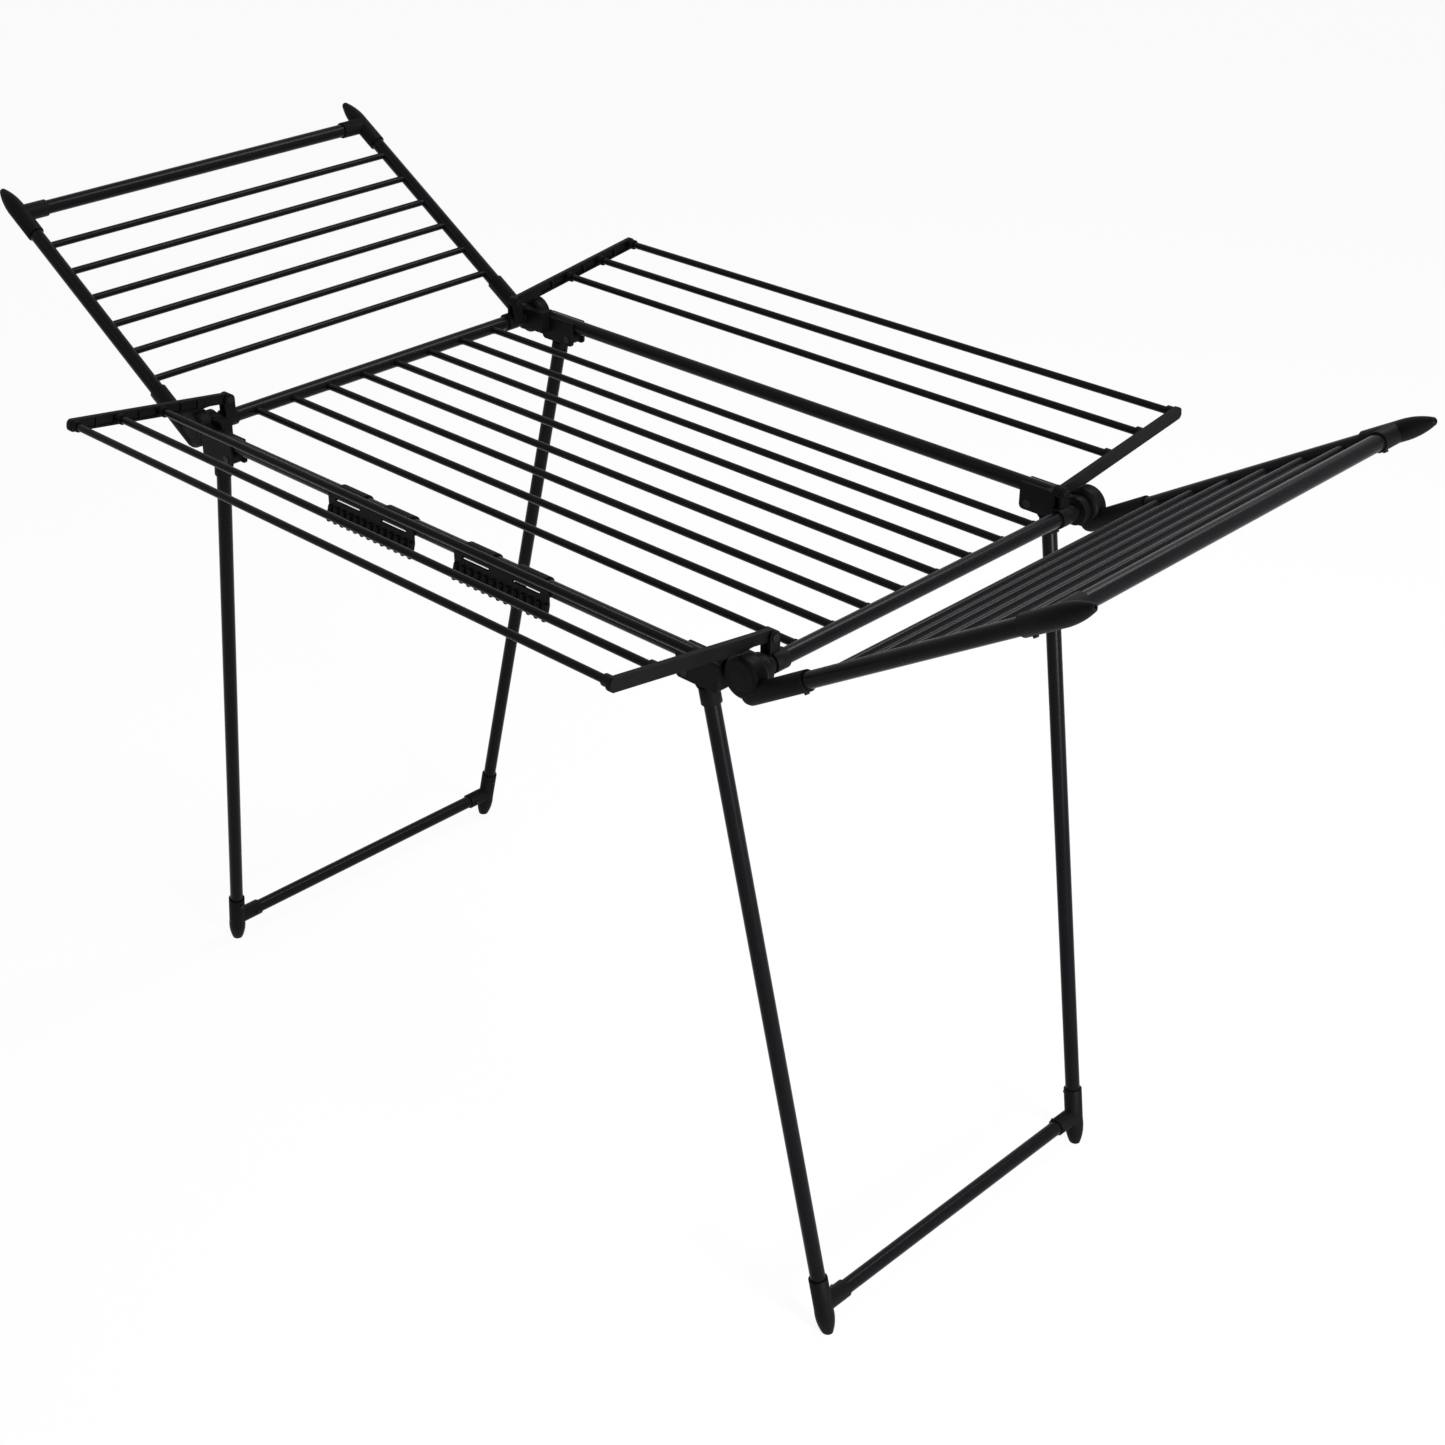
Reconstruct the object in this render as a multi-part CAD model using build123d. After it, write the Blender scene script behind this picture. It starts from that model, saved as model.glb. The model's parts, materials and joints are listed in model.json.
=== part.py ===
"""Folding clothes drying rack: deck, two wings, two flaps, two leg frames and two clip-on combs.

Millimetres. +X runs along the deck, +Y from front to back, +Z up from the floor at Z = 0.
The pose is the opened rack. Corner pieces are built at the right front and mirrored.
"""
import os
from math import cos, radians, sin, tan

from build123d import *

os.makedirs("parts", exist_ok=True)

# Stock
TUBE_D = 19.2
TUBE_WALL = 0.6
WIRE_D = 9.6
WIRE_WALL = 0.4

# Clearances
SEAT_GAP = 0.05
RUN_GAP = 0.05
SIDE_GAP = 0.2
FACE_GAP = 0.6
EYE_GAP = 1.5

# Deck
DECK_Z = 890.0
HINGE_X = 490.0
RAIL_Y = 304.0
END_RAIL_IN = 38.0
DECK_WIRES = 8
WIRE_FROM_END = 54.25
WIRE_SEAT = 7.0
PLUG_D = 11.2
PLUG_L = 2.5

# Sleeves of all the mouldings
SLEEVE_D = 24.0
SLEEVE_L = 40.0
ACROSS_STEP = 0.6
TUBE_STOP = 13.0
PEG_D = 3.8
PEG_HEAD_D = 6.0
PEG_HEAD_H = 2.0
PEG_REACH = 2.0
PEG_FROM_END = 9.0

# Corner brackets
CHEEK_T = 3.0
CHEEK_IN = 36.0
CHEEK_OUT = 27.0
CHEEK_DROP = 28.0
CHEEK_ROUND = 6.0
LIP_RISE = 7.0
LIP_ROUND = 2.0
RAIL_END_WALL = 4.0
RAIL_CAP_D = 22.0
HUB_D = 36.0
HUB_T = 12.3
WEB_H = 30.0
NECK_L = 11.0
NECK_D = 17.0
NECK_RING_D = 22.0
NECK_RING_L = 4.0
SPIGOT_L = 26.0

# Leg frames
LEG_FROM_HINGE = 54.0
LEG_SPLAY = 10.8
FOOT_IN = 48.0
FOOT_Z = 40.0
FOOT_NOSE_OVER = 3.0
FOOT_NOSE_TIP_D = 13.0
PIVOT_IN = 24.0
PIVOT_DROP = 19.0
PIVOT_EYE_D = 16.0
LINK_H = 12.0
KNUCKLE_SLEEVE = 19.0
KNUCKLE_SPIGOT = 30.0
KNUCKLE_FLOOR = 1.5
LEG_PIN_D = 8.0
LEG_PIN_HEAD_D = 11.0
LEG_PIN_HEAD_H = 0.8

# Wings
WING_ANGLE = 31.2
WING_IN = 2.0
WING_DROP = 21.5
WING_BAR = 431.5
WING_WIRES = 6
WING_FIRST = 65.5
WING_LAST = 20.0
ELBOW_L = 88.0
ELBOW_SEAT = 40.0
ELBOW_ARC = 6.0
ELBOW_DISC_D = 50.0
ELBOW_DISC_OVER = 9.0
ELBOW_DISC_ROUND = 6.0
ELBOW_END_STEP = 0.4
WING_NOSE_L = 48.0
WING_NOSE_TIP_D = 8.5
NOSE_BULGE = 2.2
NOSE_CHAMFER = 1.2
PINHOLE_D = 3.2
PINHOLE_L = 6.0
WING_PIN_D = 10.0
WING_PIN_SEAT = 10.0
WING_PIN_REACH = 18.0

# Flaps
FLAP_FROM_END = 8.5
FLAP_Z = 29.0
FLAP_ANGLE = 8.0
FLAP_WIRES = 3
FLAP_FIRST = 105.5
FLAP_TIP = 8.0
ARM_L = 243.5
ARM_IN = 6.3
ARM_T = 7.0
ARM_UP = 7.5
ARM_DOWN = 8.5
ARM_EYE_D = 16.0
ARM_NECK_DOWN = 5.5
ARM_NOTCH_FROM = 30.0
ARM_NOTCH_TO = 46.0
ARM_TIP_ROUND = 6.0
ARM_RIM = 2.5
ARM_POCKET = 3.0
BOSS_D = 14.0
BOSS_H = 9.0
BOSS_FLOOR = 3.0
COLLAR_D = 24.6
COLLAR_L = 20.0
COLLAR_OUT = 6.0
EAR_T = 3.5
EAR_D = 16.0
FLAP_PIN_D = 6.0
FLAP_PIN_HEAD_D = 10.0
FLAP_PIN_HEAD_H = 1.5

# Combs
COMB_L = 162.0
COMB_MID = 118.0
COMB_T = 2.5
COMB_DROP = 33.0
COMB_KINK = 16.0
COMB_LEAN = 4.5
CLIP_TOP_IN = 4.0
CLIP_LOW = 5.8
CLIP_LIP_IN = 8.0
HOOK_L = 47.0
HOOK_FROM_MID = 43.7
SLOT_TOP = 1.5
TEETH = 13
TOOTH_D = 7.0
TOOTH_L = 18.0
TOOTH_OVER = 2.5

# Derived
TUBE_R = TUBE_D / 2
BORE_R = TUBE_R + SEAT_GAP
SPIGOT_R = TUBE_R - TUBE_WALL - SEAT_GAP
WIRE_R = WIRE_D / 2
SLEEVE_R = SLEEVE_D / 2
ACROSS_D = SLEEVE_D - ACROSS_STEP
END_RAIL_HALF = RAIL_Y - END_RAIL_IN
DECK_PITCH = 2 * (END_RAIL_HALF - WIRE_FROM_END) / (DECK_WIRES - 1)
HUB_IN = END_RAIL_HALF + NECK_L
HUB_OUT = HUB_IN + HUB_T
ELBOW_IN = HUB_OUT + FACE_GAP
ELBOW_OUT = RAIL_Y + ELBOW_DISC_OVER
CHEEK_Y = TUBE_R + CHEEK_T
EYE_R = SLEEVE_R
LEG_X = HINGE_X - LEG_FROM_HINGE
LEG_DROP = TUBE_R + EYE_R + EYE_GAP
FOOT_Y = RAIL_Y - FOOT_IN
BRACKET_END = LEG_X + CHEEK_OUT
RAIL_END = BRACKET_END - RAIL_END_WALL
KNUCKLE_W = TUBE_D - 2 * SIDE_GAP
SLEEVE_LIFT = SLEEVE_R * tan(radians(LEG_SPLAY))
KNUCKLE_TOP = (CHEEK_DROP - LEG_DROP + FACE_GAP) / cos(radians(LEG_SPLAY)) + SLEEVE_LIFT
KNUCKLE_NECK = KNUCKLE_TOP + KNUCKLE_FLOOR
WING_PITCH = (WING_BAR - WING_FIRST - ELBOW_L - WING_LAST) / (WING_WIRES - 1)
FLAP_Y = END_RAIL_HALF - FLAP_FROM_END
FLAP_PITCH = (ARM_L - FLAP_TIP - FLAP_FIRST) / (FLAP_WIRES - 1)
COLLAR_EAR_X = ARM_T / 2 + SIDE_GAP

LOW = (Align.CENTER, Align.CENTER, Align.MIN)


def rod(start, end, radius):
    """Solid cylinder between two points."""
    axis = end - start
    return Plane(origin=start, z_dir=axis) * Cylinder(radius, axis.length, align=LOW)


def pipe(start, end, outer_d, wall):
    """Open tube between two points."""
    return rod(start, end, outer_d / 2) - rod(start, end, outer_d / 2 - wall)


def block(low, high):
    """Box between two opposite corners."""
    size = high - low
    return Pos(*((low + high) / 2)) * Box(size.X, size.Y, size.Z)


def ball(centre, radius):
    """Sphere about a point."""
    return Pos(*centre) * Sphere(radius)


def spun(profile, origin, axis):
    """Turns a profile drawn in X (radius) and Y (along) about an axis."""
    solid = revolve(Plane.XZ * profile, Axis.Z)
    return Plane(origin=origin, z_dir=axis) * solid


def to_side(part, right, front):
    """Mirrors a right-front piece to its own corner."""
    if not right:
        part = mirror(part, about=Plane.YZ)
    if not front:
        part = mirror(part, about=Plane.XZ)
    return part


def save(name, parts):
    """Writes one node, which may hold several separate solids."""
    solids = [solid for part in parts for solid in part.solids()]
    shape = solids[0] if len(solids) == 1 else Compound(children=solids)
    export_step(shape, f"parts/{name}.step")


SIDES = (("left", False), ("right", True))
FACES = (("front", True), ("back", False))
CORNERS = [(f"{face}_{side}", right, front) for face, front in FACES for side, right in SIDES]


# Deck: rails, wires and plugs

def wire_ys():
    """Places of the deck wires across the deck."""
    first = -DECK_PITCH * (DECK_WIRES - 1) / 2
    return [first + DECK_PITCH * i for i in range(DECK_WIRES)]


def side_rail(y):
    return pipe(Vector(-RAIL_END, y, DECK_Z), Vector(RAIL_END, y, DECK_Z), TUBE_D, TUBE_WALL)


def end_rail():
    low = Vector(HINGE_X, -END_RAIL_HALF, DECK_Z)
    high = Vector(HINGE_X, END_RAIL_HALF, DECK_Z)
    rail = pipe(low, high, TUBE_D, TUBE_WALL)
    for y in wire_ys():
        rail -= rod(Vector(HINGE_X - TUBE_D, y, DECK_Z), Vector(HINGE_X, y, DECK_Z), WIRE_R + SEAT_GAP)
    return rail


def deck_wire(y):
    reach = HINGE_X - TUBE_R + WIRE_SEAT
    return pipe(Vector(-reach, y, DECK_Z), Vector(reach, y, DECK_Z), WIRE_D, WIRE_WALL)


def deck_plug(y):
    """Ring on a wire, shaped to the end rail it stands against."""
    inner = Vector(HINGE_X - TUBE_R - PLUG_L, y, DECK_Z)
    outer = Vector(HINGE_X, y, DECK_Z)
    ring = rod(inner, outer, PLUG_D / 2) - rod(inner, outer, WIRE_R + SEAT_GAP)
    span = Vector(0, PLUG_D, 0)
    return ring - rod(outer - span, outer + span, TUBE_R + SEAT_GAP)


save("front_side_rail", [side_rail(-RAIL_Y)])
save("back_side_rail", [side_rail(RAIL_Y)])
for side, right in SIDES:
    save(f"{side}_end_rail", [to_side(end_rail(), right, True)])
save("deck_wires", [deck_wire(y) for y in wire_ys()])
save("deck_wire_plugs", [to_side(deck_plug(y), right, True) for _, right in SIDES for y in wire_ys()])


# Leg geometry at the right front

LEG_TOP = Vector(LEG_X, -RAIL_Y, DECK_Z - LEG_DROP)
FOOT = Vector(LEG_X + (LEG_TOP.Z - FOOT_Z) * tan(radians(LEG_SPLAY)), -FOOT_Y, FOOT_Z)
LEG_DIR = (FOOT - LEG_TOP).normalized()
PIVOT = Vector(LEG_X - PIVOT_IN, -RAIL_Y, DECK_Z - PIVOT_DROP)
INWARD = Vector(0, 1, 0)


def bracket():
    """Cradle clipped round the side rail, with cheeks for the leg, hub for the wing and neck."""
    low = Vector(LEG_X - CHEEK_IN, -RAIL_Y - CHEEK_Y, DECK_Z - CHEEK_DROP)
    high = Vector(BRACKET_END, -RAIL_Y + CHEEK_Y, DECK_Z + LIP_RISE)
    body = block(low, high)
    body = fillet(body.edges().filter_by(Axis.Y).group_by(Axis.Z)[0], CHEEK_ROUND)
    body = fillet(body.edges().filter_by(Axis.X).group_by(Axis.Z)[-1], LIP_ROUND)
    rail_end = Vector(RAIL_END, -RAIL_Y, DECK_Z)
    cap = rod(rail_end, rail_end + Vector(RAIL_END_WALL, 0, 0), RAIL_CAP_D / 2)
    web = block(
        Vector(LEG_X + EYE_R, -RAIL_Y + TUBE_R, DECK_Z - WEB_H / 2),
        Vector(HINGE_X, -HUB_IN, DECK_Z + WEB_H / 2),
    )
    hub_face = Vector(HINGE_X, -HUB_OUT, DECK_Z)
    web -= rod(hub_face, Vector(HINGE_X, -ELBOW_OUT, DECK_Z), ELBOW_DISC_D / 2 + FACE_GAP)
    hub_back = Vector(HINGE_X, -HUB_IN, DECK_Z)
    hub = rod(hub_face, hub_back, HUB_D / 2)
    neck_end = Vector(HINGE_X, -END_RAIL_HALF, DECK_Z)
    neck = rod(hub_back, neck_end, NECK_D / 2)
    ring = rod(neck_end - INWARD * NECK_RING_L, neck_end, NECK_RING_D / 2)
    spigot = rod(hub_back, neck_end + INWARD * SPIGOT_L, SPIGOT_R)
    body += [cap, web, hub, neck, ring, spigot]
    body -= rod(Vector(low.X, -RAIL_Y, DECK_Z), rail_end + Vector(SEAT_GAP, 0, 0), BORE_R)
    half_slot = KNUCKLE_W / 2 + SIDE_GAP
    reach = EYE_R / cos(radians(LEG_SPLAY)) + tan(radians(LEG_SPLAY)) * (LEG_TOP.Z - low.Z)
    body -= block(
        Vector(low.X, -RAIL_Y - half_slot, low.Z),
        Vector(LEG_X + reach + SIDE_GAP, -RAIL_Y + half_slot, DECK_Z),
    )
    span = INWARD * CHEEK_Y
    body -= rod(PIVOT - span, PIVOT + span, LEG_PIN_D / 2)
    body -= rod(hub_face, hub_face + INWARD * WING_PIN_SEAT, WING_PIN_D / 2)
    return body


def leg_pin():
    """Pivot pin with a head against each cheek."""
    span = INWARD * CHEEK_Y
    head = INWARD * LEG_PIN_HEAD_H
    pin = rod(PIVOT - span, PIVOT + span, LEG_PIN_D / 2)
    pin += rod(PIVOT - span - head, PIVOT - span, LEG_PIN_HEAD_D / 2)
    pin += rod(PIVOT + span, PIVOT + span + head, LEG_PIN_HEAD_D / 2)
    return pin


def wing_pin():
    hub_face = Vector(HINGE_X, -HUB_OUT, DECK_Z)
    return rod(hub_face + INWARD * WING_PIN_SEAT, hub_face - INWARD * WING_PIN_REACH, WING_PIN_D / 2)


for corner, right, front in CORNERS:
    save(f"{corner}_bracket", [to_side(bracket(), right, front)])
save("leg_pins", [to_side(leg_pin(), right, front) for _, right, front in CORNERS])
save("wing_pins", [to_side(wing_pin(), right, front) for _, right, front in CORNERS])


# Shared sleeve pieces

def nose(length, tip_d):
    """Half outline of a sleeve with a bullet nose: radius in X, distance from the corner in Y."""
    shoulder = SLEEVE_R / 2
    tip_r = tip_d / 2
    belly = (SLEEVE_R + tip_r) / 2 + NOSE_BULGE
    outline = Polyline((0, length), (0, -SLEEVE_L), (SLEEVE_R, -SLEEVE_L), (SLEEVE_R, shoulder))
    middle = (belly, (shoulder + length) / 2)
    outline += ThreePointArc((SLEEVE_R, shoulder), middle, (tip_r, length - NOSE_CHAMFER))
    outline += Polyline((tip_r, length - NOSE_CHAMFER), (tip_r - NOSE_CHAMFER, length), (0, length))
    return make_face(outline)


def corner_piece(origin, along, across, nose_l, tip_d):
    """Two sleeves that meet, with a nose that carries on along the first."""
    body = spun(nose(nose_l, tip_d), origin, along)
    body += rod(origin, origin + across * SLEEVE_L, ACROSS_D / 2)
    body -= rod(origin - along * SLEEVE_L, origin - along * (TUBE_STOP - SEAT_GAP), BORE_R)
    body -= rod(origin + across * (TUBE_STOP - SEAT_GAP), origin + across * SLEEVE_L, BORE_R)
    return body


def peg_hole(seat, out):
    """Hole for a peg through a sleeve and the tube in it."""
    return rod(seat, seat + out * SLEEVE_D, PEG_D / 2)


def peg(seat, out, along, sleeve_d):
    """Peg that pins a tube in its sleeve, with a low head shaped to the sleeve."""
    top = seat + out * (sleeve_d / 2 + PEG_HEAD_H)
    head = rod(seat + out * TUBE_R, top, PEG_HEAD_D / 2)
    head -= rod(seat - along * PEG_HEAD_D, seat + along * PEG_HEAD_D, sleeve_d / 2)
    return head + rod(seat + out * (SPIGOT_R - PEG_REACH), top, PEG_D / 2)


# Leg frames

LEG_SIDE = (Vector(-1, 0, 0) + LEG_DIR * LEG_DIR.X).normalized()
LEG_PEGS = (
    (LEG_TOP + LEG_DIR * (KNUCKLE_NECK + KNUCKLE_SLEEVE / 2), LEG_SIDE, LEG_DIR, SLEEVE_D),
    (FOOT - LEG_DIR * (SLEEVE_L - PEG_FROM_END), LEG_SIDE, LEG_DIR, SLEEVE_D),
    (FOOT + INWARD * (SLEEVE_L - PEG_FROM_END), Vector(-1, 0, 0), INWARD, ACROSS_D),
)


def drilled(part, pegs):
    """Part with the holes for its pegs."""
    for seat, out, *_ in pegs:
        part -= peg_hole(seat, out)
    return part


def knuckle():
    """Pivot eye and link between the cheeks, then a sleeve and a spigot for the leg tube."""
    half = INWARD * (KNUCKLE_W / 2)
    lean = Vector(sin(radians(LEG_SPLAY)), 0, -cos(radians(LEG_SPLAY)))
    neck_end = LEG_TOP + LEG_DIR * KNUCKLE_NECK
    floor = neck_end - LEG_DIR * KNUCKLE_FLOOR
    slab = Pos(*LEG_TOP) * Box(4 * SLEEVE_L, KNUCKLE_W, 4 * SLEEVE_L)
    link_low = Vector(PIVOT.X, LEG_TOP.Y - KNUCKLE_W / 2, PIVOT.Z - LINK_H / 2)
    link_high = Vector(LEG_TOP.X, LEG_TOP.Y + KNUCKLE_W / 2, PIVOT.Z + LINK_H / 2)
    body = rod(LEG_TOP - half, LEG_TOP + half, EYE_R)
    body += rod(LEG_TOP, LEG_TOP + lean * KNUCKLE_NECK, EYE_R) & slab
    body += rod(PIVOT - half, PIVOT + half, PIVOT_EYE_D / 2)
    body += block(link_low, link_high)
    body += rod(floor, neck_end + LEG_DIR * KNUCKLE_SLEEVE, SLEEVE_R)
    body -= rod(neck_end, neck_end + LEG_DIR * KNUCKLE_SLEEVE, BORE_R)
    body += rod(floor, neck_end + LEG_DIR * KNUCKLE_SPIGOT, SPIGOT_R)
    body -= rod(PIVOT - half, PIVOT + half, LEG_PIN_D / 2 + RUN_GAP)
    return drilled(body, LEG_PEGS[:1])


def leg_tube():
    start = LEG_TOP + LEG_DIR * (KNUCKLE_NECK + SEAT_GAP)
    return drilled(pipe(start, FOOT - LEG_DIR * TUBE_STOP, TUBE_D, TUBE_WALL), LEG_PEGS[:2])


def foot_bar():
    start = FOOT + INWARD * TUBE_STOP
    bar = pipe(start, Vector(start.X, -start.Y, start.Z), TUBE_D, TUBE_WALL)
    hole = peg_hole(*LEG_PEGS[2][:2])
    return bar - hole - mirror(hole, about=Plane.XZ)


def foot():
    """Corner piece that stands on the floor with the flat end of its nose."""
    nose_l = -FOOT_Z / LEG_DIR.Z + FOOT_NOSE_OVER
    body = corner_piece(FOOT, LEG_DIR, INWARD, nose_l, FOOT_NOSE_TIP_D)
    body -= Pos(FOOT.X, FOOT.Y, -SLEEVE_D / 2) * Box(4 * SLEEVE_D, 4 * SLEEVE_D, SLEEVE_D)
    return drilled(body, LEG_PEGS[1:])


for side, right in SIDES:
    for face, front in FACES:
        save(f"{side}_legs_{face}_knuckle", [to_side(knuckle(), right, front)])
        save(f"{side}_legs_{face}_tube", [to_side(leg_tube(), right, front)])
        save(f"{side}_legs_{face}_foot", [to_side(foot(), right, front)])
    save(f"{side}_legs_foot_bar", [to_side(foot_bar(), right, True)])
    save(f"{side}_legs_pegs", [to_side(peg(*at), right, front) for _, front in FACES for at in LEG_PEGS])


# Wings

OUTWARD = Vector(cos(radians(WING_ANGLE)), 0, sin(radians(WING_ANGLE)))
UNDER = Vector(sin(radians(WING_ANGLE)), 0, -cos(radians(WING_ANGLE)))
WING_HINGE = Vector(HINGE_X, WING_IN - RAIL_Y, DECK_Z)
WING_ROOT = WING_HINGE + UNDER * WING_DROP
WING_CORNER = WING_ROOT + OUTWARD * WING_BAR
WING_PEGS = (
    (WING_ROOT + OUTWARD * (ELBOW_L - PEG_FROM_END), UNDER, OUTWARD, SLEEVE_D),
    (WING_CORNER - OUTWARD * (SLEEVE_L - PEG_FROM_END), UNDER, OUTWARD, SLEEVE_D),
    (WING_CORNER + INWARD * (SLEEVE_L - PEG_FROM_END), UNDER, INWARD, ACROSS_D),
)


def wing_wire_at(i):
    """Point on the front side tube where a wing wire enters."""
    return WING_ROOT + OUTWARD * (WING_BAR - WING_FIRST - WING_PITCH * i)


def elbow():
    """Disc on the hub that curves round under the hinge into the side tube's sleeve."""
    axis = Axis((HINGE_X, 0, DECK_Z), (0, 1, 0))
    section = Plane(origin=WING_ROOT, x_dir=(0, 1, 0), z_dir=OUTWARD) * Circle(SLEEVE_R)
    end_angle = radians(WING_ANGLE - 90 - ELBOW_ARC)
    arc_end = WING_HINGE + Vector(cos(end_angle), 0, sin(end_angle)) * WING_DROP
    disc_in = Vector(HINGE_X, -ELBOW_IN, DECK_Z)
    body = rod(disc_in, Vector(HINGE_X, -ELBOW_OUT, DECK_Z), ELBOW_DISC_D / 2)
    body = fillet(body.edges().filter_by(GeomType.CIRCLE), ELBOW_DISC_ROUND)
    body += revolve(section, axis, ELBOW_ARC)
    body += ball(arc_end, SLEEVE_R - ELBOW_END_STEP)
    body += rod(WING_ROOT, WING_ROOT + OUTWARD * ELBOW_L, SLEEVE_R)
    body -= rod(WING_ROOT + OUTWARD * ELBOW_SEAT, WING_ROOT + OUTWARD * ELBOW_L, BORE_R)
    pin_end = Vector(HINGE_X, -HUB_OUT - WING_PIN_REACH - SIDE_GAP, DECK_Z)
    body -= rod(disc_in, pin_end, WING_PIN_D / 2 + RUN_GAP)
    return drilled(body, WING_PEGS[:1])


def wing_tube():
    start = WING_ROOT + OUTWARD * (ELBOW_SEAT + SEAT_GAP)
    tube = pipe(start, WING_CORNER - OUTWARD * TUBE_STOP, TUBE_D, TUBE_WALL)
    for i in range(WING_WIRES):
        at = wing_wire_at(i)
        tube -= rod(at, at + INWARD * TUBE_D, WIRE_R + SEAT_GAP)
    return drilled(tube, WING_PEGS[:2])


def wing_wire(i):
    start = wing_wire_at(i) + INWARD * (TUBE_R - WIRE_SEAT)
    return pipe(start, Vector(start.X, -start.Y, start.Z), WIRE_D, WIRE_WALL)


def wing_bar():
    start = WING_CORNER + INWARD * TUBE_STOP
    bar = pipe(start, Vector(start.X, -start.Y, start.Z), TUBE_D, TUBE_WALL)
    hole = peg_hole(*WING_PEGS[2][:2])
    return bar - hole - mirror(hole, about=Plane.XZ)


def wing_corner():
    body = corner_piece(WING_CORNER, OUTWARD, INWARD, WING_NOSE_L, WING_NOSE_TIP_D)
    tip = WING_CORNER + OUTWARD * WING_NOSE_L
    body -= rod(tip - OUTWARD * PINHOLE_L, tip, PINHOLE_D / 2)
    return drilled(body, WING_PEGS[1:])


for side, right in SIDES:
    for face, front in FACES:
        save(f"{side}_wing_{face}_elbow", [to_side(elbow(), right, front)])
        save(f"{side}_wing_{face}_tube", [to_side(wing_tube(), right, front)])
        save(f"{side}_wing_{face}_corner", [to_side(wing_corner(), right, front)])
    save(f"{side}_wing_bar", [to_side(wing_bar(), right, True)])
    save(f"{side}_wing_wires", [to_side(wing_wire(i), right, True) for i in range(WING_WIRES)])
    save(f"{side}_wing_pegs", [to_side(peg(*at), right, front) for _, front in FACES for at in WING_PEGS])


# Flaps

FLAP_HINGE = Vector(HINGE_X - ARM_IN, -FLAP_Y, DECK_Z + FLAP_Z)
FLAP_RUN = Vector(0, -cos(radians(FLAP_ANGLE)), sin(radians(FLAP_ANGLE)))
FLAP_WIRE_RUNS = [FLAP_FIRST + FLAP_PITCH * i for i in range(FLAP_WIRES)]


def arm_outline():
    """Side view of an arm: X runs out from the hinge, Y is up."""
    points = [
        (0, ARM_EYE_D / 2),
        (ARM_NOTCH_FROM, ARM_UP),
        (ARM_L, ARM_UP),
        (ARM_L, -ARM_DOWN),
        (ARM_NOTCH_TO, -ARM_DOWN),
        (ARM_NOTCH_FROM, -ARM_NECK_DOWN),
        (0, -ARM_NECK_DOWN),
    ]
    blade = make_face(Polyline(*points, close=True))
    blade = fillet(blade.vertices().sort_by(Axis.X)[-2:], ARM_TIP_ROUND)
    return blade + Circle(ARM_EYE_D / 2)


def arm_pockets():
    """Hollows on the inner face, two between each pair of bosses."""
    first = ARM_NOTCH_TO + ARM_RIM - BOSS_D / 2
    stations = [first, *FLAP_WIRE_RUNS]
    height = ARM_UP + ARM_DOWN - 2 * ARM_RIM
    pockets = []
    for near, far in zip(stations, stations[1:]):
        low = near + BOSS_D / 2
        high = far - BOSS_D / 2
        length = (high - low - ARM_RIM) / 2
        for middle in (low + length / 2, high - length / 2):
            pocket = Box(length, height, 2 * ARM_POCKET)
            pockets.append(Pos(middle, (ARM_UP - ARM_DOWN) / 2, ARM_T / 2) * pocket)
    return pockets


def arm():
    """Flap arm with its wire bosses on the inner face."""
    body = extrude(arm_outline(), ARM_T / 2, both=True) - arm_pockets()
    for run in FLAP_WIRE_RUNS:
        body += Pos(run, 0, 0) * Cylinder(BOSS_D / 2, ARM_T / 2 + BOSS_H, align=LOW)
    for run in FLAP_WIRE_RUNS:
        depth = ARM_T + BOSS_H - BOSS_FLOOR
        body -= Pos(run, 0, BOSS_FLOOR - ARM_T / 2) * Cylinder(WIRE_R + SEAT_GAP, depth, align=LOW)
    body -= Cylinder(FLAP_PIN_D / 2 + RUN_GAP, 2 * ARM_T)
    return Plane(origin=FLAP_HINGE, x_dir=FLAP_RUN, z_dir=(-1, 0, 0)) * body


def flap_wire(run):
    at = FLAP_HINGE + FLAP_RUN * run
    reach = at.X + ARM_T / 2 - BOSS_FLOOR - SEAT_GAP
    return pipe(Vector(-reach, at.Y, at.Z), Vector(reach, at.Y, at.Z), WIRE_D, WIRE_WALL)


def collar():
    """Clip round the end rail with two ears for the flap's eye."""
    pin = FLAP_HINGE
    outer_end = Vector(HINGE_X, pin.Y - COLLAR_OUT, DECK_Z)
    inner_end = outer_end + INWARD * COLLAR_L
    body = rod(outer_end, inner_end, COLLAR_D / 2)
    for way in (-1, 1):
        near = pin + Vector(way * COLLAR_EAR_X, 0, 0)
        far = near + Vector(way * EAR_T, 0, 0)
        body += rod(near, far, EAR_D / 2)
        low = Vector(min(near.X, far.X), pin.Y - EAR_D / 2, DECK_Z)
        body += block(low, Vector(max(near.X, far.X), pin.Y + EAR_D / 2, pin.Z))
    body -= rod(outer_end - INWARD * EAR_D, inner_end, BORE_R)
    span = Vector(COLLAR_EAR_X + EAR_T, 0, 0)
    return body - rod(pin - span, pin + span, FLAP_PIN_D / 2)


def flap_pin():
    pin = FLAP_HINGE
    span = Vector(COLLAR_EAR_X + EAR_T, 0, 0)
    head = Vector(FLAP_PIN_HEAD_H, 0, 0)
    body = rod(pin - span, pin + span, FLAP_PIN_D / 2)
    body += rod(pin - span - head, pin - span, FLAP_PIN_HEAD_D / 2)
    return body + rod(pin + span, pin + span + head, FLAP_PIN_HEAD_D / 2)


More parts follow.
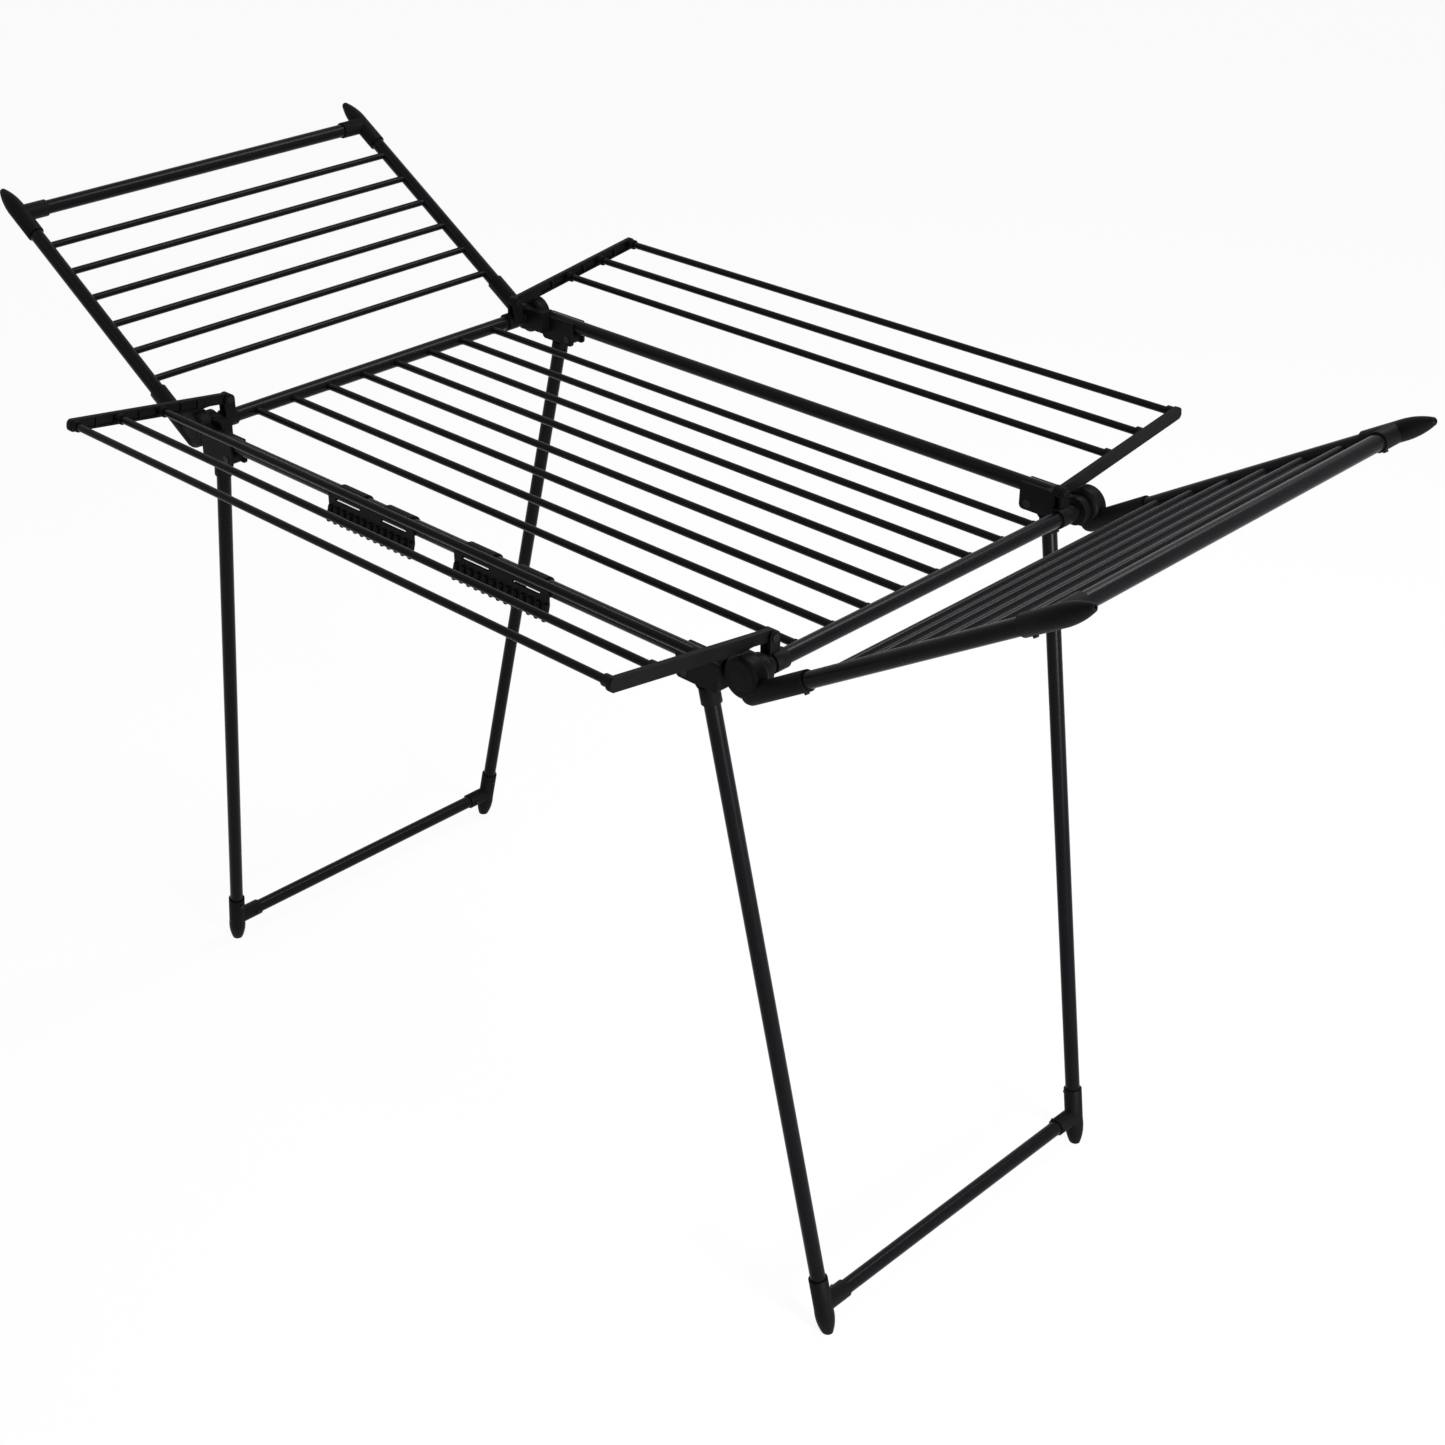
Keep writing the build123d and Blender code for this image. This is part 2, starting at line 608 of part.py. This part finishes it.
for face, front in FACES:
    for side, right in SIDES:
        save(f"{face}_{side}_collar", [to_side(collar(), right, front)])
        save(f"{face}_flap_{side}_arm", [to_side(arm(), right, front)])
    save(f"{face}_flap_wires", [to_side(flap_wire(run), True, front) for run in FLAP_WIRE_RUNS])
save("flap_pins", [to_side(flap_pin(), right, front) for _, right, front in CORNERS])


# Combs

def comb(middle):
    """Clip on the front rail: two hooks over the top, a slotted plate and a leaning row of teeth."""
    half = Vector(COMB_L / 2, 0, 0)
    at = Vector(middle, -RAIL_Y, DECK_Z)
    outer_r = TUBE_R + RUN_GAP + COMB_T
    body = rod(at - half, at + half, outer_r)
    body -= block(at - half - Vector(0, outer_r, outer_r), at + half + Vector(0, outer_r, -CLIP_LOW))
    body -= block(at - half - Vector(0, 0, outer_r), at + half + Vector(0, outer_r, CLIP_TOP_IN))
    hook_in = HOOK_FROM_MID - HOOK_L / 2
    hook_out = HOOK_FROM_MID + HOOK_L / 2
    for start, end in ((-half.X, -hook_out), (-hook_in, hook_in), (hook_out, half.X)):
        body -= block(at + Vector(start, -CLIP_LIP_IN, 0), at + Vector(end, outer_r, outer_r))
    inner_r = outer_r - COMB_T
    outline = Polyline(
        (-outer_r, 0),
        (-outer_r, -COMB_KINK),
        (-outer_r - COMB_LEAN, -COMB_DROP),
        (-inner_r - COMB_LEAN, -COMB_DROP),
        (-inner_r, -COMB_KINK),
        (-inner_r, 0),
        close=True,
    )
    section = Plane(origin=at - half, x_dir=(0, 1, 0), z_dir=(1, 0, 0)) * make_face(outline)
    body += extrude(section, COMB_L, dir=(1, 0, 0))
    lean = Vector(0, -COMB_LEAN, COMB_KINK - COMB_DROP).normalized()
    tip = at + Vector(0, -outer_r - COMB_LEAN, -COMB_DROP) + lean * (TOOTH_OVER - TOOTH_D / 2)
    pitch = (COMB_L - TOOTH_D) / (TEETH - 1)
    for i in range(TEETH):
        low = tip + Vector(pitch * i - (COMB_L - TOOTH_D) / 2, 0, 0)
        body += rod(low, low - lean * TOOTH_L, TOOTH_D / 2)
        body += ball(low, TOOTH_D / 2)
    body -= rod(at - half, at + half, inner_r)
    for way in (-1, 1):
        slot = at + Vector(way * HOOK_FROM_MID, -outer_r, -(SLOT_TOP + CLIP_LOW) / 2)
        body -= Pos(*slot) * Box(HOOK_L, 4 * COMB_T, CLIP_LOW - SLOT_TOP)
    return body


for name, middle in (("left", -COMB_MID), ("right", COMB_MID)):
    save(f"{name}_comb", [comb(middle)])
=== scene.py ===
"""Dresses the folding drying rack: finishes, moulded details, stage, light and camera."""
import json
import math

import bmesh
import bpy
from mathutils import Euler, Matrix, Vector


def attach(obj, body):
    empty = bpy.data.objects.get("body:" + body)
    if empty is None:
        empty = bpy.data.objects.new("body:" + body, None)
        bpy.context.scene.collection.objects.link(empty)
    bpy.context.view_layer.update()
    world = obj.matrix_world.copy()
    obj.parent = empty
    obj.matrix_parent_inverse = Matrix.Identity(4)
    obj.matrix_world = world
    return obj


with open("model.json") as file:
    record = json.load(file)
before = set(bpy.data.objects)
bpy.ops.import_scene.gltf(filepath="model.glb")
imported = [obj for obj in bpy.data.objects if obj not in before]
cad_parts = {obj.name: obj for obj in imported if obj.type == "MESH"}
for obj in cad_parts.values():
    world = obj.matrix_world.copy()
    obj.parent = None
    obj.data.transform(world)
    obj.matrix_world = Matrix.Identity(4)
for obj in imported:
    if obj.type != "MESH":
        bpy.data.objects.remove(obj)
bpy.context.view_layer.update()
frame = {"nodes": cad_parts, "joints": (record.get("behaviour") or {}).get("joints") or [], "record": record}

MM = 0.001

# Camera, fitted to the deck, legs and wings
CAMERA_AT = (1.9728, -1.9350, 2.0878)
CAMERA_TURN = (60.3677, 0.8013, 45.8161)
SENSOR = 36.0
LENS = 59.049
SHIFT = (0.0848, -0.0003)

# Stage
FLOOR_SPAN = 80.0
FLOOR_TONE = "#f4f4f4"
FLOOR_SHADE = 0.1
FLOOR_GLOW = 1.02
WORLD_LIGHT = 0.4
LAMP_AIM = (0.0, 0.0, 0.8)
LAMPS = (
    ("key", (-1.2, -2.2, 3.4), 1.2, 4.0),
    ("side", (3.2, -0.4, 0.9), 1.2, 135.0),
    ("top", (0.4, 1.6, 3.2), 1.2, 45.0),
)

# Sizes of the patterns in the finishes
PEEL = 4.0 * MM
PEEL_DEPTH = 0.4 * MM
DRIFT = 60.0 * MM
GRAIN = 1.2 * MM
GRAIN_DEPTH = 0.3 * MM
FLOW = 25.0 * MM
MARKS = 1.0 * MM

# Rounded edges of the mouldings and pins
EDGE_ROUND = 0.5 * MM
EDGE_STEPS = 2
EDGE_ANGLE = math.radians(32)
FLAT_ANGLE = math.radians(1.0)
WELD_GAP = 0.005 * MM

# Covers over the wing hinges
COVER_Y = 313.0 * MM
COVER_R = 13.0 * MM
COVER_H = 0.5 * MM
COVER_SINK = 0.3 * MM
COVER_STEPS = 6

LATHE_STEPS = 48
WHITE = (1.0, 1.0, 1.0, 1.0)


def linear(code):
    """Linear colour from an sRGB hex value."""
    parts = [int(code[i:i + 2], 16) / 255 for i in (1, 3, 5)]
    return [c / 12.92 if c <= 0.04045 else ((c + 0.055) / 1.055) ** 2.4 for c in parts] + [1.0]


def add(tree, kind, settings=None, inputs=None, links=None):
    """One node with its settings, fixed inputs and links from other nodes' outputs."""
    made = tree.nodes.new(kind)
    for key, value in (settings or {}).items():
        setattr(made, key, value)
    for key, value in (inputs or {}).items():
        made.inputs[key].default_value = value
    for key, source in (links or {}).items():
        tree.links.new(source, made.inputs[key])
    return made


def blank(name):
    """Empty node material and its output."""
    made = bpy.data.materials.new(name)
    made.use_nodes = True
    made.node_tree.nodes.clear()
    return made, made.node_tree, made.node_tree.nodes.new("ShaderNodeOutputMaterial")


def powder_coated_steel():
    """Black polyester powder baked on steel tube: a satin skin whose faint orange peel
    softens the bright line that runs along each tube."""
    made, tree, out = blank("powder_coated_steel")
    place = add(tree, "ShaderNodeTexCoord")
    # Orange peel is about 1.5 mm across; it is drawn at 4 mm so that it shows.
    peel = add(tree, "ShaderNodeTexNoise", None,
               {"Scale": 1 / PEEL, "Detail": 2.0}, {"Vector": place.outputs["Object"]})
    # Film thickness drifts over about 60 mm.
    drift = add(tree, "ShaderNodeTexNoise", None,
                {"Scale": 1 / DRIFT, "Detail": 3.0}, {"Vector": place.outputs["Object"]})
    tint = add(tree, "ShaderNodeMix", {"data_type": "RGBA"},
               {6: linear("#08080a"), 7: linear("#0e0e12")}, {0: drift.outputs["Fac"]})
    gloss = add(tree, "ShaderNodeMapRange", None, {"To Min": 0.23, "To Max": 0.3},
                {"Value": drift.outputs["Fac"]})
    bump = add(tree, "ShaderNodeBump", None, {"Strength": 0.12, "Distance": PEEL_DEPTH},
               {"Height": peel.outputs["Fac"]})
    skin = add(tree, "ShaderNodeBsdfPrincipled", None, {"IOR": 1.5, "Specular IOR Level": 0.055},
               {"Base Color": tint.outputs[2], "Roughness": gloss.outputs["Result"],
                "Normal": bump.outputs["Normal"]})
    tree.links.new(skin.outputs["BSDF"], out.inputs["Surface"])
    return made


def moulded_polypropylene():
    """Carbon-black polypropylene from a spark-eroded mould: deep matt black, with a fine
    grain that spreads the light and a slow change of gloss along the flow."""
    made, tree, out = blank("moulded_polypropylene")
    place = add(tree, "ShaderNodeTexCoord")
    # Mould grain is about 0.3 mm; it is drawn at 1.2 mm so that it shows.
    grain = add(tree, "ShaderNodeTexNoise", None,
                {"Scale": 1 / GRAIN, "Detail": 3.0, "Roughness": 0.6},
                {"Vector": place.outputs["Object"]})
    # Flow marks are about 25 mm wide.
    flow = add(tree, "ShaderNodeTexNoise", None,
               {"Scale": 1 / FLOW, "Detail": 2.0, "Distortion": 0.6},
               {"Vector": place.outputs["Object"]})
    tint = add(tree, "ShaderNodeMix", {"data_type": "RGBA"},
               {6: linear("#070708"), 7: linear("#0d0d0e")}, {0: flow.outputs["Fac"]})
    gloss = add(tree, "ShaderNodeMapRange", None, {"To Min": 0.44, "To Max": 0.58},
                {"Value": flow.outputs["Fac"]})
    bump = add(tree, "ShaderNodeBump", None, {"Strength": 0.2, "Distance": GRAIN_DEPTH},
               {"Height": grain.outputs["Fac"]})
    skin = add(tree, "ShaderNodeBsdfPrincipled", None, {"IOR": 1.49, "Specular IOR Level": 0.05},
               {"Base Color": tint.outputs[2], "Roughness": gloss.outputs["Result"],
                "Normal": bump.outputs["Normal"]})
    tree.links.new(skin.outputs["BSDF"], out.inputs["Surface"])
    return made


def black_oxide_steel():
    """Blackened steel pins and pegs: a dark grey metal with a low oily gloss."""
    made, tree, out = blank("black_oxide_steel")
    place = add(tree, "ShaderNodeTexCoord")
    # Turning marks are about 0.4 mm apart; they are drawn at 1 mm so that they show.
    marks = add(tree, "ShaderNodeTexNoise", None,
                {"Scale": 1 / MARKS, "Detail": 2.0}, {"Vector": place.outputs["Object"]})
    gloss = add(tree, "ShaderNodeMapRange", None, {"To Min": 0.4, "To Max": 0.55},
                {"Value": marks.outputs["Fac"]})
    skin = add(tree, "ShaderNodeBsdfPrincipled", None,
               {"Base Color": linear("#202022"), "Metallic": 1.0},
               {"Roughness": gloss.outputs["Result"]})
    tree.links.new(skin.outputs["BSDF"], out.inputs["Surface"])
    return made


FINISHES = {
    "coated_steel": powder_coated_steel(),
    "moulded_plastic": moulded_polypropylene(),
    "pin_steel": black_oxide_steel(),
}


def soften(solid):
    """Rounds the sharp edges of a moulding or pin."""
    weld = solid.modifiers.new("weld", "WELD")
    weld.merge_threshold = WELD_GAP
    flat = solid.modifiers.new("flat", "DECIMATE")
    flat.decimate_type = "DISSOLVE"
    flat.angle_limit = FLAT_ANGLE
    edge = solid.modifiers.new("edge", "BEVEL")
    edge.width = EDGE_ROUND
    edge.segments = EDGE_STEPS
    edge.limit_method = "ANGLE"
    edge.angle_limit = EDGE_ANGLE
    edge.harden_normals = True


def dress_nodes():
    """Gives each solid its finish, and rounds the edges of the pins and of all mouldings but the combs."""
    for part in frame["record"]["subparts"]:
        solid = frame["nodes"][part["node"]]
        solid.data.materials.clear()
        solid.data.materials.append(FINISHES[part["material_slot"]])
        if part["material_slot"] != "coated_steel" and not part["node"].endswith("comb"):
            soften(solid)


def lathe(name, outline, origin, axis, body, slot):
    """Closed cap: (radius, distance along the axis) points, from axis to axis, turned about the axis."""
    mesh = bmesh.new()
    rings = []
    for radius, along in outline:
        if radius == 0:
            rings.append([mesh.verts.new((0, 0, along))])
            continue
        turns = [2 * math.pi * i / LATHE_STEPS for i in range(LATHE_STEPS)]
        rings.append([mesh.verts.new((radius * math.cos(a), radius * math.sin(a), along)) for a in turns])
    for near, far in zip(rings, rings[1:]):
        for i in range(LATHE_STEPS):
            j = (i + 1) % LATHE_STEPS
            corners = [near[i % len(near)], near[j % len(near)], far[j % len(far)], far[i % len(far)]]
            mesh.faces.new(list(dict.fromkeys(corners)))
    bmesh.ops.recalc_face_normals(mesh, faces=mesh.faces)
    mesh.transform(Matrix.Translation(origin) @ axis.to_track_quat("Z", "Y").to_matrix().to_4x4())
    data = bpy.data.meshes.new(name)
    mesh.to_mesh(data)
    mesh.free()
    data.materials.append(FINISHES[slot])
    data.shade_smooth()
    piece = bpy.data.objects.new(name, data)
    bpy.context.scene.collection.objects.link(piece)
    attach(piece, body)


def hinge_covers():
    """Shallow domes over the wing pins."""
    turns = [math.pi / 2 * i / COVER_STEPS for i in range(COVER_STEPS + 1)]
    outline = [(COVER_R * math.sin(turn), COVER_H * math.cos(turn)) for turn in turns]
    outline += [(COVER_R, -COVER_SINK), (0, -COVER_SINK)]
    for joint in frame["joints"]:
        if joint["name"].endswith("wing_fold"):
            x, _, z = joint["pos_m"]
            for face, way in (("front", -1), ("back", 1)):
                at = Vector((x, way * COVER_Y, z))
                name = f"{joint['child']}_{face}_hinge_cover"
                lathe(name, outline, at, Vector((0, way, 0)), joint["child"], "moulded_plastic")


def seen_white(tree):
    """1 for rays that the eye, a reflection or a see-through piece sends out, else 0."""
    path = add(tree, "ShaderNodeLightPath")
    direct = add(tree, "ShaderNodeMath", {"operation": "MAXIMUM"}, None,
                 {0: path.outputs["Is Camera Ray"], 1: path.outputs["Is Glossy Ray"]})
    return add(tree, "ShaderNodeMath", {"operation": "MAXIMUM"}, None,
               {0: direct.outputs[0], 1: path.outputs["Is Transmission Ray"]}).outputs[0]


def floor_material():
    """Pale matt studio paper that keeps the rack's shadow."""
    made, tree, out = blank("studio_paper")
    share = add(tree, "ShaderNodeMath", {"operation": "MULTIPLY"}, {1: 1 - FLOOR_SHADE},
                {0: seen_white(tree)})
    paper = add(tree, "ShaderNodeBsdfDiffuse", None, {"Color": linear(FLOOR_TONE)})
    white = add(tree, "ShaderNodeEmission", None, {"Color": WHITE, "Strength": FLOOR_GLOW})
    both = add(tree, "ShaderNodeMixShader", None, None,
               {0: share.outputs[0], 1: paper.outputs["BSDF"], 2: white.outputs["Emission"]})
    tree.links.new(both.outputs["Shader"], out.inputs["Surface"])
    return made


def studio_world():
    """White surroundings for the eye and for reflections, softer light on the rack."""
    world = bpy.data.worlds.new("studio")
    bpy.context.scene.world = world
    world.use_nodes = True
    tree = world.node_tree
    tree.nodes.clear()
    level = add(tree, "ShaderNodeMapRange", None, {"To Min": WORLD_LIGHT, "To Max": 1.0},
                {"Value": seen_white(tree)})
    sky = add(tree, "ShaderNodeBackground", None, {"Color": WHITE},
              {"Strength": level.outputs["Result"]})
    add(tree, "ShaderNodeOutputWorld", None, None, {"Surface": sky.outputs["Background"]})


def build_stage():
    """Pale floor, white surroundings and soft lamps."""
    mesh = bpy.data.meshes.new("floor")
    half = FLOOR_SPAN / 2
    corners = [(-half, -half, 0), (half, -half, 0), (half, half, 0), (-half, half, 0)]
    mesh.from_pydata(corners, [], [(0, 1, 2, 3)])
    mesh.materials.append(floor_material())
    floor = bpy.data.objects.new("floor", mesh)
    bpy.context.scene.collection.objects.link(floor)
    studio_world()
    for name, at, size, watts in LAMPS:
        lamp = bpy.data.lights.new(name, "AREA")
        lamp.shape = "DISK"
        lamp.size = size
        lamp.energy = watts
        holder = bpy.data.objects.new(name, lamp)
        holder.location = at
        aim = Vector(LAMP_AIM) - Vector(at)
        holder.rotation_euler = aim.to_track_quat("-Z", "Y").to_euler()
        bpy.context.scene.collection.objects.link(holder)


def place_camera():
    """Camera of the photograph."""
    lens = bpy.data.cameras.new("camera")
    lens.sensor_width = SENSOR
    lens.lens = LENS
    lens.shift_x, lens.shift_y = SHIFT
    camera = bpy.data.objects.new("camera", lens)
    camera.location = CAMERA_AT
    camera.rotation_euler = Euler([math.radians(a) for a in CAMERA_TURN], "XYZ")
    bpy.context.scene.collection.objects.link(camera)
    bpy.context.scene.camera = camera


dress_nodes()
hinge_covers()
build_stage()
place_camera()
bpy.context.scene.view_settings.view_transform = "Standard"
